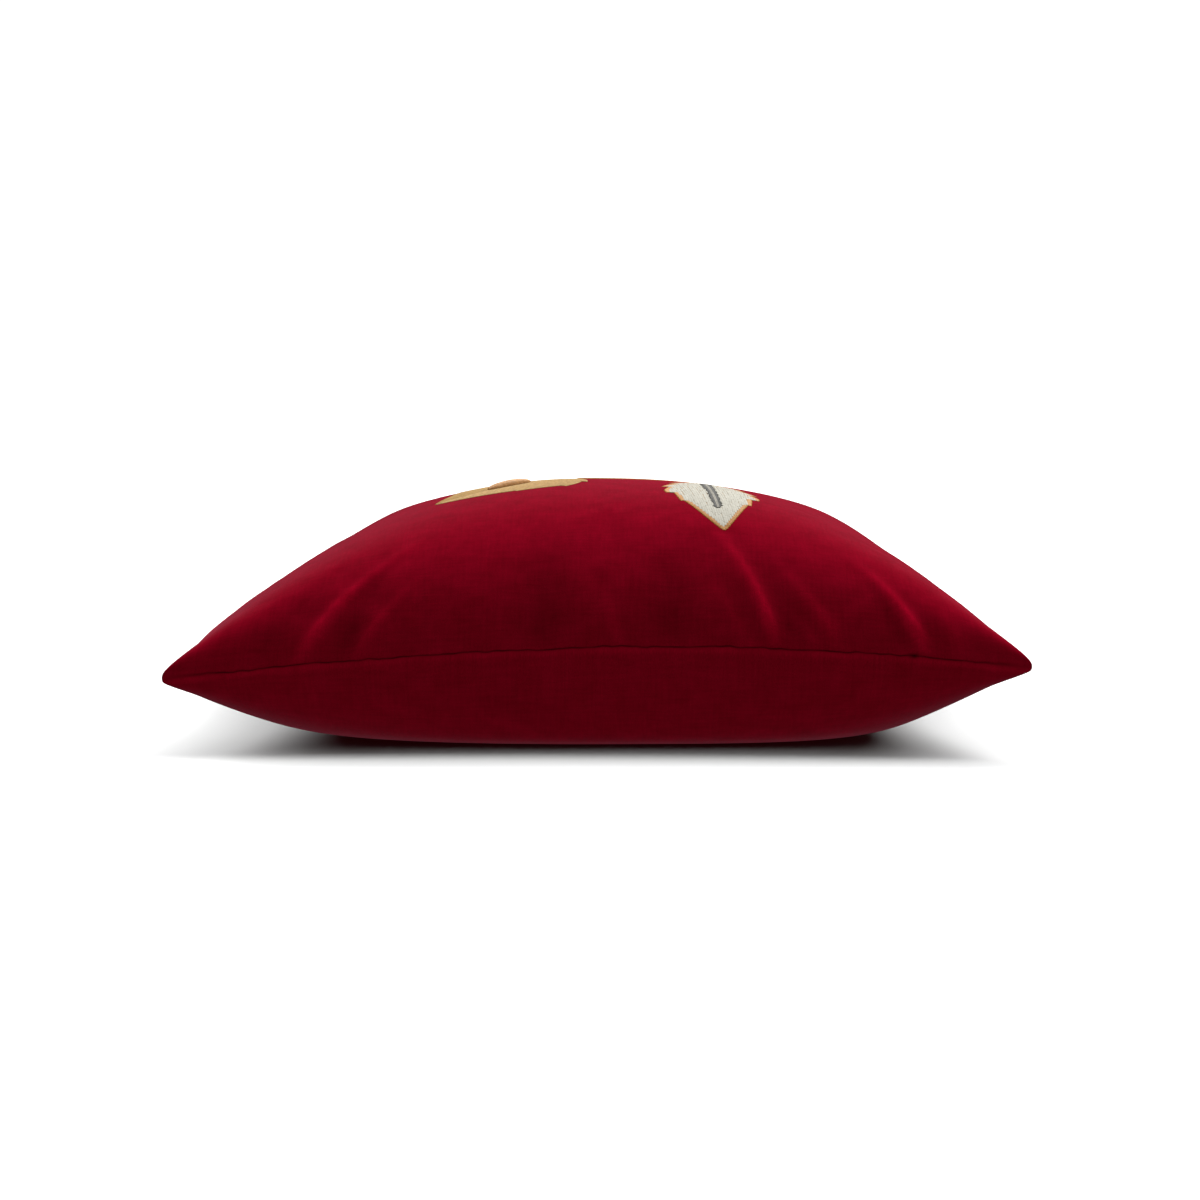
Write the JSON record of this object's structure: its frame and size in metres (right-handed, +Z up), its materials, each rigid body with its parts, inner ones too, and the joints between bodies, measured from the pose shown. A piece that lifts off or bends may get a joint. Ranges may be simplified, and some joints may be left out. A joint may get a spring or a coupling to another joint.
{
  "type": "throw pillow",
  "caption": "Square knife-edge throw pillow in crimson velvet, lying on its back, plump in the middle, with an embroidered leafy sprig on its face.",
  "frame": {"origin": "on the surface that carries the pillow, under the middle of its plan", "axes": "+Z up out of the embroidered face, +X and +Y along two sides of the square, and the side that a low front view faces is at -Y"},
  "size_m": [0.4884, 0.4884, 0.1553],
  "materials": {
    "velvet": "deep crimson cut-pile velvet, matt with a soft rim of light",
    "ivory_thread": "ivory satin-stitched thread",
    "gold_thread": "antique gold rayon thread, slightly glossy",
    "copper_thread": "padded copper-gold satin stitch",
    "grey_thread": "charcoal grey thread, matt"
  },
  "bodies": {
    "root": {"cushion": "velvet", "stem_gold": "gold_thread", "leaf_ivory_front": "ivory_thread", "vein_grey_front": "grey_thread", "leaf_gold_left": "gold_thread", "bud_copper_left": "copper_thread", "leaf_ivory_back_left": "ivory_thread", "vein_grey_back_left": "grey_thread", "leaf_gold_back": "gold_thread", "bud_copper_back": "copper_thread", "leaf_ivory_back_right": "ivory_thread", "vein_grey_back_right": "grey_thread"}
  },
  "joints": []
}
